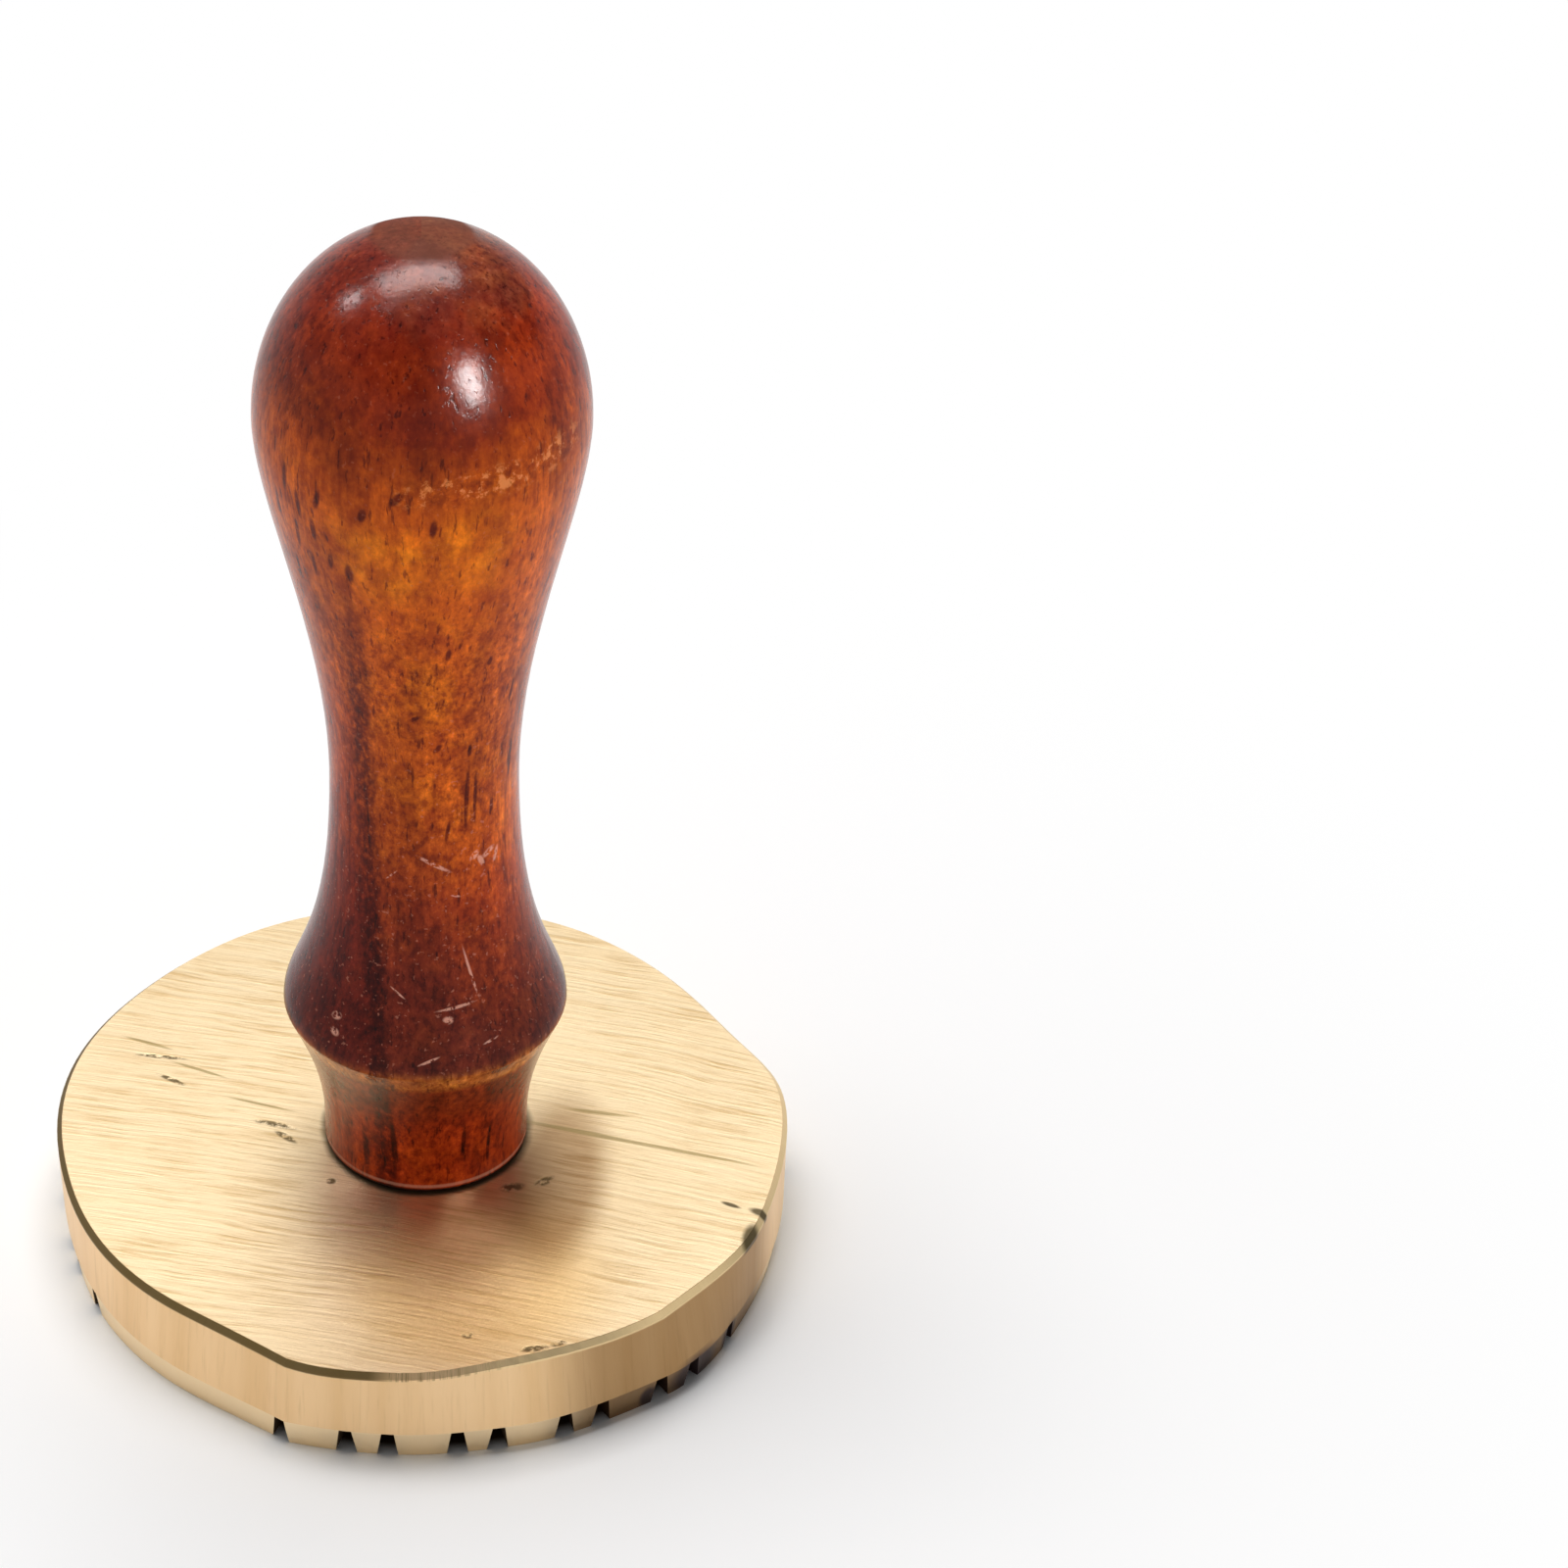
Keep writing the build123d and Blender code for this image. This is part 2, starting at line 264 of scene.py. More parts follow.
def make_camera():
    """The photograph's camera, which sees the middle of the plate's top at the aim pixel."""
    elevation = math.radians(CAMERA_ELEVATION)
    aim = Vector((0, 0, PLATE_TOP)) * MM
    away = Vector((0, -math.cos(elevation), math.sin(elevation)))
    place = aim + away * CAMERA_DISTANCE * MM
    right = (-away).cross(Vector((0, 0, 1))).normalized()
    up = right.cross(-away)
    level = Matrix((right, up, away)).transposed()
    half = PICTURE_PIXELS / 2
    ray = Vector((AIM_PIXEL[0] - half, half - AIM_PIXEL[1], -FOCAL_PIXELS)).normalized()
    swing = Vector((0, 0, -1)).rotation_difference(ray)
    turn = (Quaternion(ray, math.radians(CAMERA_ROLL)) @ swing).to_matrix()
    data = bpy.data.cameras.new("camera")
    data.sensor_width = SENSOR_WIDTH
    data.lens = FOCAL_PIXELS / PICTURE_PIXELS * SENSOR_WIDTH
    data.clip_start = CLIP_START
    camera = bpy.data.objects.new("camera", data)
    camera.matrix_world = Matrix.Translation(place) @ (level @ turn.transposed()).to_4x4()
    bpy.context.scene.collection.objects.link(camera)
    bpy.context.scene.camera = camera


def make_world():
    """A white backdrop, and above it a room that is brightest behind and to the left."""
    world = bpy.data.worlds.new("studio")
    world.use_nodes = True
    bpy.context.scene.world = world
    nodes = Nodes(world.node_tree)
    background = world.node_tree.nodes["Background"]
    direction = nodes.add("ShaderNodeTexCoord").outputs["Generated"]
    x, y, z = nodes.separate(direction)
    aside = nodes.minus(y, nodes.times(x, ROOM_LEFT_SHARE))
    behind = nodes.plus(aside, nodes.times(z, ROOM_UP_SHARE))
    room = nodes.band(behind, *ROOM_FADE, WORLD_FRONT, WORLD_BACK)
    seen, mirrored = nodes.light_path()
    lowered = nodes.minus(z, nodes.band(y, *BACKDROP_LOWERED_FADE, BACKDROP_LOWERED, 0.0))
    backdrop = nodes.fall(lowered, *BACKDROP_FADE)
    shown = nodes.math("MAXIMUM", seen, nodes.times(mirrored, backdrop))
    nodes.put(background.inputs["Color"], nodes.mix(shown, room, WHITE))
    background.inputs["Strength"].default_value = 1.0


def make_lamp(name, azimuth, elevation, distance, width, height, radiance):
    """A soft rectangular lamp that faces the stamp."""
    aim = Vector((0, 0, PLATE_TOP + HANDLE_LENGTH / 2)) * MM
    turn, lift = math.radians(azimuth), math.radians(elevation)
    away = Vector((math.cos(turn) * math.cos(lift), math.sin(turn) * math.cos(lift), math.sin(lift)))
    data = bpy.data.lights.new(name, "AREA")
    data.shape = "RECTANGLE"
    data.size = width
    data.size_y = height
    data.energy = radiance * math.pi * width * height
    lamp = bpy.data.objects.new(name, data)
    lamp.location = aim + away * distance
    lamp.rotation_euler = (-away).to_track_quat("-Z", "Y").to_euler()
    bpy.context.scene.collection.objects.link(lamp)
    return lamp


def make_lamps():
    """The lamps that light everything, and those that only one piece receives."""
    for row in LAMPS:
        make_lamp(*row)
    groups = (
        ("handle", HANDLE_LAMPS, True),
        ("handle", HANDLE_GLINTS, False),
        ("die_plate", PLATE_GLINTS, False),
    )
    for node_name, rows, lights_matt in groups:
        receivers = bpy.data.collections.new(node_name + "_receivers")
        receivers.objects.link(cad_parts[node_name])
        for row in rows:
            lamp = make_lamp(*row)
            lamp.visible_diffuse = lights_matt
            lamp.light_linking.receiver_collection = receivers


def white_paper():
    """White paper, with a painted deep shadow under the plate, and away from the stamp seen and mirrored
    as white as the backdrop."""
    material, nodes, shader = new_material("white_paper")
    x, y, z = nodes.separate(model_place(nodes)[0])
    radius = nodes.length(nodes.combine(x, y))
    # Painted shadow: darker paper inside the plate's footprint
    painted_shadow_under_plate = nodes.fall(radius, *FLOOR_SHADOW_FADE)
    nodes.put(shader.inputs["Base Color"], nodes.mix(painted_shadow_under_plate, PAPER, PAPER_PAINTED_SHADOW))
    set_constants(shader, Roughness=0.9, Specular_IOR_Level=0.1)
    seen, mirrored = nodes.light_path()
    shown = nodes.math("MAXIMUM", seen, mirrored)
    blend = nodes.add("ShaderNodeMixShader")
    nodes.put(blend.inputs[0], nodes.times(shown, nodes.band(radius, *FLOOR_WHITE_FADE)))
    links = material.node_tree.links
    links.new(shader.outputs[0], blend.inputs[1])
    links.new(nodes.add("ShaderNodeEmission").outputs[0], blend.inputs[2])
    links.new(blend.outputs[0], material.node_tree.nodes["Material Output"].inputs["Surface"])
    return material


def make_floor():
    """A square sheet of paper under the stamp."""
    mesh = bpy.data.meshes.new("floor")
    corners = [(x * FLOOR_REACH, y * FLOOR_REACH, 0) for x, y in ((-1, -1), (1, -1), (1, 1), (-1, 1))]
    mesh.from_pydata(corners, [], [(0, 1, 2, 3)])
    mesh.materials.append(white_paper())
    floor = bpy.data.objects.new("floor", mesh)
    floor.location = (0, 0, -FLOOR_DROP * MM)
    bpy.context.scene.collection.objects.link(floor)


# Lacquered wood. Its places are heights above the foot and radii in millimetres, and turns in
# radians from the front to the right. A fade is where a look begins and where it is full.

# The stain up the handle, with a light line on the ridge at the bulb's lower edge that is partly worn
# lacquer and partly a painted highlight, painted shade just under that ridge, and a greyer top that is a
# painted reflection: share of its length, and colour
STAIN_WITH_PAINTED_LIGHT = (
    (0.000, (0.400, 0.038, 0.004)),
    (0.080, (0.350, 0.032, 0.004)),
    (0.120, (0.190, 0.018, 0.003)),
    (0.146, (0.240, 0.026, 0.004)),
    (0.153, (0.480, 0.125, 0.018)),
    (0.165, (0.520, 0.140, 0.026)),
    (0.177, (0.130, 0.016, 0.006)),
    (0.270, (0.170, 0.019, 0.006)),
    (0.340, (0.300, 0.036, 0.006)),
    (0.440, (0.520, 0.088, 0.005)),
    (0.640, (0.550, 0.092, 0.004)),
    (0.780, (0.640, 0.112, 0.003)),
    (0.825, (0.500, 0.080, 0.004)),
    (0.858, (0.350, 0.050, 0.003)),
    (0.885, (0.245, 0.025, 0.003)),
    (0.950, (0.235, 0.023, 0.005)),
    (1.000, (0.200, 0.052, 0.024)),
)
# How far the stain's edges waver, and how far they drop to the left, above these heights
STAIN_WAVER = 9.0
STAIN_DROP = -2.6
STAIN_DROP_FADE = (-0.1, -1.0)
STAIN_UNEVEN_FADE = (20.0, 40.0)

# The radius at which marks round the handle are measured off
FLAT_RADIUS = 10.0
# Golden patches below the head. Each row of marks: millimetres round the handle from its
# front, height above the foot, slope in degrees, half length, half width
GOLDEN_PATCHES = ((-2.6, 67.5, 90, 6.0, 4.0), (3.0, 69.0, 90, 6.0, 3.6), (0.5, 53.0, 90, 5.0, 3.0))
GOLDEN_STRENGTH = 0.8
GOLDEN = (1.15, 1.45, 0.80)
# Painted light: lighter, warmer colour at the right of the bulb
BULB_TURNS = (0.1, 0.6, 1.3, 1.8)
BULB_HEIGHTS = (17.0, 23.0, 32.0, 44.0)
BULB_PAINTED_LIGHT = (1.6, 1.7, 1.0)

# Tones on the head and below it, and painted light on the lower half of the head's right
HEAD_FADE = (74.0, 79.0)
GOLD_CLOUDS = (0.48, 0.66, 0.7, (1.08, 1.28, 0.90))
GOLD_CLOUDS_ON_HEAD = 0.2
DARK_CLOUDS = (0.46, 0.60, 0.55, (0.66, 0.48, 0.95))
RIGHT_PAINTED_LIGHT = (0.0, 0.9, 1.0, (1.35, 1.35, 0.80))
HEAD_TOP_FADE = (84.0, 89.0)
RIGHT_PAINTED_LIGHT_ON_TOP = 0.2

# The grain: where the trunk's middle lies, how the rings run, and tones by each noise
PITH_SHIFT = (34.0, 26.0, 0.0)
RING_STRETCH = (1.0, 1.0, 0.06)
RING_DENSITY = 1.15
RING_WAVER = 5.0
RING_LINES = (-0.2, 1.0, 0.35, (0.50, 0.42, 0.40))
DARK_MOTTLE = (0.46, 0.62, 0.6, (0.56, 0.36, 0.42))
PALE_MOTTLE = (0.46, 0.34, 0.5, (1.40, 1.50, 1.20))
DARK_SPECKLE = (0.46, 0.64, 1.0, (0.36, 0.20, 0.26))
PALE_SPECKLE = (0.46, 0.34, 1.0, (1.50, 1.70, 1.90))
SPECKLE_SHARE = 0.30
SPECKLE_SHARE_ON_FRONT = 0.40
FRONT_TURN_FADE = (0.65, 1.1)
FRONT_HEIGHT_FADE = (66.0, 54.0)
DARK_FIBRES = (0.50, 0.64, 1.0, (0.45, 0.30, 0.34))
PALE_FIBRES = (0.46, 0.34, 1.0, (1.35, 1.50, 1.70))
FIBRE_SHARES = (0.25, 0.75)
FIBRE_TURN_FADE = (0.5, 1.0)
PORE_FADE = (0.58, 0.70)
PORE_STRENGTH = 0.75
PORE_TONE = (0.20, 0.09, 0.07)

# Dark dashes in the grain, in the columns of GOLDEN_PATCHES
DARK_DASHES = (
    (4.5, 41.2, 88, 4.4, 0.36), (5.5, 41.0, 90, 3.4, 0.30), (-1.5, 74.6, 60, 1.0, 0.4),
    (10.6, 43.0, 88, 3.0, 0.34), (9.0, 51.0, 88, 1.8, 0.30), (2.4, 38.0, 80, 1.4, 0.3),
    (-3.6, 72.6, 80, 0.9, 0.35), (0.6, 71.8, 85, 1.2, 0.3), (-4.9, 66.0, 88, 1.3, 0.4),
    (1.9, 57.6, 85, 0.9, 0.3), (5.6, 55.8, 80, 0.7, 0.3), (-0.9, 50.4, 30, 0.8, 0.3),
    (1.3, 47.0, 50, 0.8, 0.35), (4.6, 46.2, 85, 0.9, 0.3), (-6.2, 3.6, 90, 3.6, 0.5),
    (-3.1, 5.2, 90, 4.2, 0.42), (3.6, 5.6, 90, 2.4, 0.3), (6.4, 4.0, 90, 3.2, 0.3),
    (-9.2, 73.5, 88, 1.7, 0.24), (-8.2, 71.5, 92, 1.9, 0.26), (-8.8, 68.0, 85, 2.0, 0.24),
    (-7.2, 69.5, 90, 1.6, 0.3), (-6.6, 72.8, 80, 1.3, 0.3), (-7.8, 65.5, 88, 1.6, 0.24),
    (-6.2, 66.8, 84, 1.3, 0.28), (-10.4, 70.2, 88, 2.0, 0.24), (-9.8, 64.0, 86, 1.6, 0.22),
)
DASH_BREAKS = (0.30, 0.50, 0.6, 0.95)
DASH_TONE = (0.26, 0.13, 0.12)

# The dark seam down the left of the front: where it lies at one height and how it leans, and the painted
# shade on the wood to its left, with painted highlight specks
SEAM_OFFSET = 4.1
SEAM_LEVEL = 20.0
SEAM_LEAN = 0.037
SEAM_FADE = (0.3, 1.3)
SEAM_HEIGHT_FADE = (68.0, 50.0)
SEAM_DEPTH_FADE = (0.0, -2.0)
SEAM_BREAKS = (0.3, 0.55, 0.45, 0.9)
SEAM_TONE = (0.30, 0.14, 0.16)
LEFT_FADE = (-3.6, -5.2)
LEFT_HEIGHT_FADE = (58.0, 46.0)
LEFT_PAINTED_SHADE_STRENGTH = 0.7
LEFT_PAINTED_SHADE = (0.80, 0.46, 0.60)
RIDGE_FADE = (14.0, 16.0)
# Painted highlight specks above the ridge, strongest on the bulb
SPECK_FADE = (0.63, 0.74)
SPECK_HEIGHTS = (56.0, 36.0, 0.25, 0.8)
HIGHLIGHT_SPECK_STRENGTH = 0.45
HIGHLIGHT_SPECK_COLOUR = (0.62, 0.22, 0.14)

# Chips in the lacquer's edge under the head: heights, how they rise to the right, and turns
CHIP_HEIGHTS = (73.2, 74.6, 75.6, 77.0)
CHIP_RISE = 0.9
CHIP_TURNS = (-0.25, 0.1, 0.9, 1.3)
CHIP_CRACKS = (0.50, 0.40, 0.5, (0.30, 0.20, 0.20))
CHIP_FADE = (0.52, 0.64)
CHIP_STRENGTH = 0.7
CHIP_COLOUR = (0.88, 0.29, 0.08)
# Light scratches and flecks in the lacquer, in the columns of GOLDEN_PATCHES
LACQUER_FLECKS = (
    (0.9, 34.9, -27, 2.4, 0.26), (5.4, 35.0, 35, 0.8, 0.45), (6.2, 34.3, -60, 0.9, 0.40),
    (7.2, 34.8, 20, 1.1, 0.40), (8.2, 34.2, 65, 1.0, 0.34), (-7.5, 19.1, 20, 0.6, 0.42),
    (-7.3, 17.8, -20, 0.52, 0.40), (4.1, 24.2, -78, 2.9, 0.17), (2.6, 21.3, 6, 2.1, 0.18),
    (1.8, 20.3, 0, 0.55, 0.42), (0.2, 17.0, 25, 1.1, 0.15), (5.0, 17.9, 12, 0.8, 0.14),
    (-3.5, 33.6, 40, 0.9, 0.12), (3.2, 31.5, -15, 0.7, 0.12), (-2.4, 22.6, -35, 1.0, 0.12),
)
FLECK_BREAKS = (0.38, 0.52)
FLECK_STRENGTH = 0.62
FLECK_COLOUR = (0.86, 0.42, 0.30)

# The foot's edge, lighter as wear and as a painted reflection of the brass, the painted contact shadow
# under it, and the cap on the head where the lacquer is rubbed thin and its colour is a painted
# reflection
EDGE_HEIGHTS = (0.45, 0.60, 0.75, 0.95)
EDGE_WEAR_AND_REFLECTION_STRENGTH = 0.35
EDGE_WEAR_AND_REFLECTION_COLOUR = (0.72, 0.36, 0.24)
CONTACT_SHADOW_HEIGHTS = (0.32, 0.50)
CONTACT_SHADOW_STRENGTH = 0.94
CONTACT_SHADOW_COLOUR = (0.020, 0.008, 0.005)
CAP_NARROWING = 1.25
CAP_BACK = 2.2
CAP_WAVER = 1.6
CAP_FADE = (5.7, 4.7)
# The cap's grey-brown colour is a painted reflection
CAP_REFLECTION_STRENGTH = 0.50
CAP_PAINTED_REFLECTION = (0.165, 0.070, 0.048)
CAP_COAT = 0.08
CAP_HEIGHT_FADE = (84.0, 86.0)

# Bare wood: how high it reaches under the foot, and how wide and high in the bore
UNDER_FADE = (PLATE_TOP + 0.02, PLATE_TOP + 0.06)
BORE_FADE = (5.2, 5.6)
BORE_HEIGHT_FADE = (30.0, 32.0)
END_GRAIN_DENSITY = 4.0
END_GRAIN = ((0.42, 0.24, 0.12), (0.26, 0.13, 0.06))


def wood_places(nodes):
    """Where a point lies on the handle, and the noises that several looks share."""
    place = model_place(nodes)[0]
    x, y, z = nodes.separate(place)
    height = nodes.minus(z, PLATE_TOP)
    turn = nodes.math("ARCTAN2", x, nodes.times(y, -1.0))
    from_pith = nodes.vector("ADD", place, PITH_SHIFT)
    pore_noise = nodes.stretched(place, (2.3, 2.3, 0.40), detail=3.0, roughness=0.6)
    return SimpleNamespace(
        place=place,
        x=x,
        y=y,
        z=z,
        height=height,
        turn=turn,
        sideways=nodes.math("ABSOLUTE", turn),
        flat=nodes.combine(nodes.times(turn, FLAT_RADIUS), height),
        waver=nodes.minus(nodes.noise(place, 0.22, detail=4.0, roughness=0.7), 0.5),
        rings=nodes.length(nodes.vector("MULTIPLY", from_pith, RING_STRETCH)),
        mottle=nodes.stretched(place, (0.55, 0.55, 0.30), detail=4.0, roughness=0.65),
        speckle=nodes.stretched(place, (1.6, 1.6, 1.1), detail=4.0, roughness=0.7),
        pores=nodes.band(pore_noise, *PORE_FADE),
    )


def stain_and_painted_light(nodes, wood):
    """The stain's colour up the handle, with uneven edges, golden patches, and painted light on the
    bulb's right.
    """
    drop = nodes.times(nodes.band(wood.turn, *STAIN_DROP_FADE), STAIN_DROP)
    shift = nodes.plus(nodes.times(wood.waver, STAIN_WAVER), drop)
    uneven = nodes.times(shift, nodes.band(wood.height, *STAIN_UNEVEN_FADE))
    share = nodes.math("DIVIDE", nodes.plus(wood.height, uneven), HANDLE_LENGTH)
    # The ramp holds a painted highlight line on the ridge, painted shade under it, and a painted
    # reflection at the top
    colour = nodes.ramp(share, STAIN_WITH_PAINTED_LIGHT)
    glow = nodes.times(nodes.marks(wood.flat, GOLDEN_PATCHES), GOLDEN_STRENGTH)
    colour = nodes.tinted(colour, glow, GOLDEN)
    # Painted light on the right of the bulb
    painted_light_on_bulb = nodes.times(nodes.zone(wood.turn, *BULB_TURNS), nodes.zone(wood.height, *BULB_HEIGHTS))
    return nodes.tinted(colour, painted_light_on_bulb, BULB_PAINTED_LIGHT)


def head_tones(nodes, wood, colour):
    """Golden clouds below the head, dark clouds on it, and painted light on its right side."""
    on_head = nodes.band(wood.height, *HEAD_FADE)
    below = nodes.fall(wood.height, *HEAD_FADE, GOLD_CLOUDS_ON_HEAD)
    gold = nodes.noise(wood.place, 0.30, detail=3.0, roughness=0.6)
    colour = nodes.toned(colour, gold, GOLD_CLOUDS, below)
    clouds = nodes.noise(wood.place, 0.16, detail=3.0, roughness=0.6)
    colour = nodes.toned(colour, clouds, DARK_CLOUDS, on_head)
    # Painted light: the head's right side is lighter and more orange
    below_top = nodes.fall(wood.height, *HEAD_TOP_FADE, RIGHT_PAINTED_LIGHT_ON_TOP)
    return nodes.toned(colour, wood.turn, RIGHT_PAINTED_LIGHT, nodes.times(on_head, below_top))


def wood_grain(nodes, wood, colour):
    """Rings, mottle, speckled wear, fibres, pores and dark dashes."""
    waver = nodes.times(nodes.noise(wood.place, 0.09), RING_WAVER)
    ringed = nodes.math("SINE", nodes.plus(nodes.times(wood.rings, RING_DENSITY), waver))
    colour = nodes.toned(colour, ringed, RING_LINES)
    colour = nodes.toned(colour, wood.mottle, DARK_MOTTLE)
    colour = nodes.toned(colour, wood.mottle, PALE_MOTTLE)

    front = nodes.times(nodes.band(wood.height, *FRONT_HEIGHT_FADE),
                        nodes.fall(wood.sideways, *FRONT_TURN_FADE))
    rubbing = nodes.plus(nodes.times(front, SPECKLE_SHARE_ON_FRONT), SPECKLE_SHARE)
    colour = nodes.toned(colour, wood.speckle, DARK_SPECKLE, rubbing)
    colour = nodes.toned(colour, wood.speckle, PALE_SPECKLE, rubbing)

    fibres = nodes.stretched(wood.place, (1.9, 1.9, 0.11), detail=4.0, roughness=0.65)
    streaky = nodes.band(wood.sideways, *FIBRE_TURN_FADE, *FIBRE_SHARES)
    colour = nodes.toned(colour, fibres, DARK_FIBRES, streaky)
    colour = nodes.toned(colour, fibres, PALE_FIBRES, streaky)
    colour = nodes.tinted(colour, nodes.times(wood.pores, PORE_STRENGTH), PORE_TONE)
    dashes = nodes.marks(wood.flat, DARK_DASHES)
    return nodes.tinted(colour, nodes.times(dashes, nodes.band(wood.speckle, *DASH_BREAKS)), DASH_TONE)


def seam_and_left(nodes, wood, colour):
    """A dark seam down the left of the front, painted shade on the wood beyond it, and painted highlight
    specks above the ridge.
    """
    lean = nodes.times(nodes.minus(wood.height, SEAM_LEVEL), SEAM_LEAN)
    leaning = nodes.plus(wood.x, lean)
    seam = nodes.fall(nodes.math("ABSOLUTE", nodes.plus(leaning, SEAM_OFFSET)), *SEAM_FADE)
    reach = nodes.times(nodes.band(wood.height, *SEAM_HEIGHT_FADE), nodes.band(wood.y, *SEAM_DEPTH_FADE))
    broken = nodes.band(wood.speckle, *SEAM_BREAKS)
    colour = nodes.tinted(colour, nodes.times(seam, reach, broken), SEAM_TONE)

    above_ridge = nodes.band(wood.height, *RIDGE_FADE)
    # Painted shade on the handle's left side
    left = nodes.times(nodes.band(leaning, *LEFT_FADE), nodes.band(wood.height, *LEFT_HEIGHT_FADE))
    colour = nodes.tinted(colour, nodes.times(left, above_ridge, LEFT_PAINTED_SHADE_STRENGTH), LEFT_PAINTED_SHADE)
    # Painted highlights: small light specks
    highlight_specks = nodes.band(nodes.noise(wood.place, 2.4), *SPECK_FADE)
    speck_reach = nodes.times(above_ridge, nodes.band(wood.height, *SPECK_HEIGHTS))
    return nodes.mix(nodes.times(highlight_specks, speck_reach, HIGHLIGHT_SPECK_STRENGTH), colour, HIGHLIGHT_SPECK_COLOUR)


def lacquer_wear(nodes, wood, colour):
    """Chips in the lacquer's edge under the head, and light scratches. Also gives the scratches."""
    chip_noise = nodes.noise(wood.place, 1.05, detail=4.0, roughness=0.68)
    edge = nodes.minus(wood.height, nodes.times(wood.turn, CHIP_RISE))
    chipped = nodes.times(nodes.zone(edge, *CHIP_HEIGHTS), nodes.zone(wood.turn, *CHIP_TURNS))
    colour = nodes.toned(colour, chip_noise, CHIP_CRACKS, chipped)
    chips = nodes.times(nodes.band(chip_noise, *CHIP_FADE), chipped, CHIP_STRENGTH)
    colour = nodes.mix(chips, colour, CHIP_COLOUR)
    breaks = nodes.band(nodes.noise(wood.place, 2.2, detail=3.0, roughness=0.6), *FLECK_BREAKS)
    flecks = nodes.times(nodes.marks(wood.flat, LACQUER_FLECKS), breaks)
    return nodes.mix(nodes.times(flecks, FLECK_STRENGTH), colour, FLECK_COLOUR), flecks


def foot_edge(nodes, wood, colour):
    """The foot's edge: lighter, partly wear and partly a painted reflection of the brass, with a painted
    contact shadow where it meets the plate.
    """
    # Partly wear, partly a painted reflection of the brass
    worn_and_reflecting = nodes.times(nodes.zone(wood.height, *EDGE_HEIGHTS), EDGE_WEAR_AND_REFLECTION_STRENGTH)
    colour = nodes.mix(worn_and_reflecting, colour, EDGE_WEAR_AND_REFLECTION_COLOUR)
    # Painted contact shadow at the foot's bottom
    painted_contact_shadow = nodes.band(wood.height, *CONTACT_SHADOW_HEIGHTS, CONTACT_SHADOW_STRENGTH, 0.0)
    return nodes.mix(painted_contact_shadow, colour, CONTACT_SHADOW_COLOUR)


def rubbed_cap_with_reflection(nodes, wood):
    """1 where the palm has rubbed the lacquer off the head's top, and where its grey-brown colour is a
    painted reflection.
    """
    cap_place = nodes.combine(nodes.times(wood.x, CAP_NARROWING), nodes.minus(wood.y, CAP_BACK))
    reach = nodes.plus(nodes.length(cap_place), nodes.times(wood.waver, CAP_WAVER))
    return nodes.times(nodes.band(reach, *CAP_FADE), nodes.band(wood.height, *CAP_HEIGHT_FADE))


def bare_wood(nodes, wood):
    """1 where the wood is bare, under the foot and in the bore, and the end grain's colour."""
    under = nodes.fall(wood.z, *UNDER_FADE)
    radius = nodes.length(nodes.combine(wood.x, wood.y))
    in_bore = nodes.times(nodes.fall(radius, *BORE_FADE), nodes.fall(wood.height, *BORE_HEIGHT_FADE))
    end_grain = nodes.math("SINE", nodes.times(wood.rings, END_GRAIN_DENSITY))
    return nodes.math("MAXIMUM", under, in_bore), nodes.mix(nodes.band(end_grain, -1.0, 1.0), *END_GRAIN)


def lacquered_wood():
    """Turned wood under a worn red-brown lacquer that is dark on the head and the bulb."""
    material, nodes, shader = new_material("lacquered_wood_look")
    wood = wood_places(nodes)
    colour = stain_and_painted_light(nodes, wood)
    colour = head_tones(nodes, wood, colour)
    colour = wood_grain(nodes, wood, colour)
    colour = seam_and_left(nodes, wood, colour)
    colour, flecks = lacquer_wear(nodes, wood, colour)
    colour = foot_edge(nodes, wood, colour)
    cap_wear_and_reflection = rubbed_cap_with_reflection(nodes, wood)
    # Painted reflection: grey-brown colour on the cap
    colour = nodes.mix(nodes.times(cap_wear_and_reflection, CAP_REFLECTION_STRENGTH), colour, CAP_PAINTED_REFLECTION)
    bare, raw = bare_wood(nodes, wood)
    nodes.put(shader.inputs["Base Color"], nodes.mix(bare, colour, raw))

    set_constants(shader, Specular_IOR_Level=0.0, Coat_Weight=1.0, Coat_Roughness=0.19, Coat_IOR=1.20)
    nodes.put(shader.inputs["Coat Weight"], nodes.between(cap_wear_and_reflection, 1.0, CAP_COAT))
    rough = nodes.plus(0.42, nodes.times(wood.mottle, 0.2))
    nodes.put(shader.inputs["Roughness"], nodes.between(bare, rough, 0.8))
    ripple = nodes.plus(nodes.noise(wood.place, 0.7), nodes.times(wood.speckle, 0.35))
    dents = nodes.plus(nodes.times(wood.pores, 0.25), nodes.times(flecks, 0.3))
    relief = nodes.bump(nodes.minus(ripple, dents), strength=1.0, distance=0.035)
    nodes.put(shader.inputs["Normal"], relief)
    nodes.put(shader.inputs["Coat Normal"], relief)
    return material


# Engraved brass. Its places are millimetres on the model's axes, radii, and turns in radians
# from the front to the right.

# Saw lines across the top: how they slope, bend and waver, how close they lie, and colours
LINE_SLOPE = 0.28
LINE_BEND = 0.0012
LINE_WAVER = 1.6
LINE_SCALES = (0.100, 1.9)
LINE_FADE = (0.41, 0.68)
LINE_PATCHES = (0.36, 0.60, 0.45, 1.0)
TOP_BRASS = ((0.905, 0.715, 0.450), (0.610, 0.425, 0.210))
# Marks on the top. Each row: x, y, slope in degrees, half length, half width
# A painted tint of the handle's reflection in front of the foot, golden and a little darker
PLATE_REFLECTION_TINT = ((4.0, -20.0, 90, 16.0, 14.0),)
REFLECTION_TINT_TONE = (0.98, 0.89, 0.70)
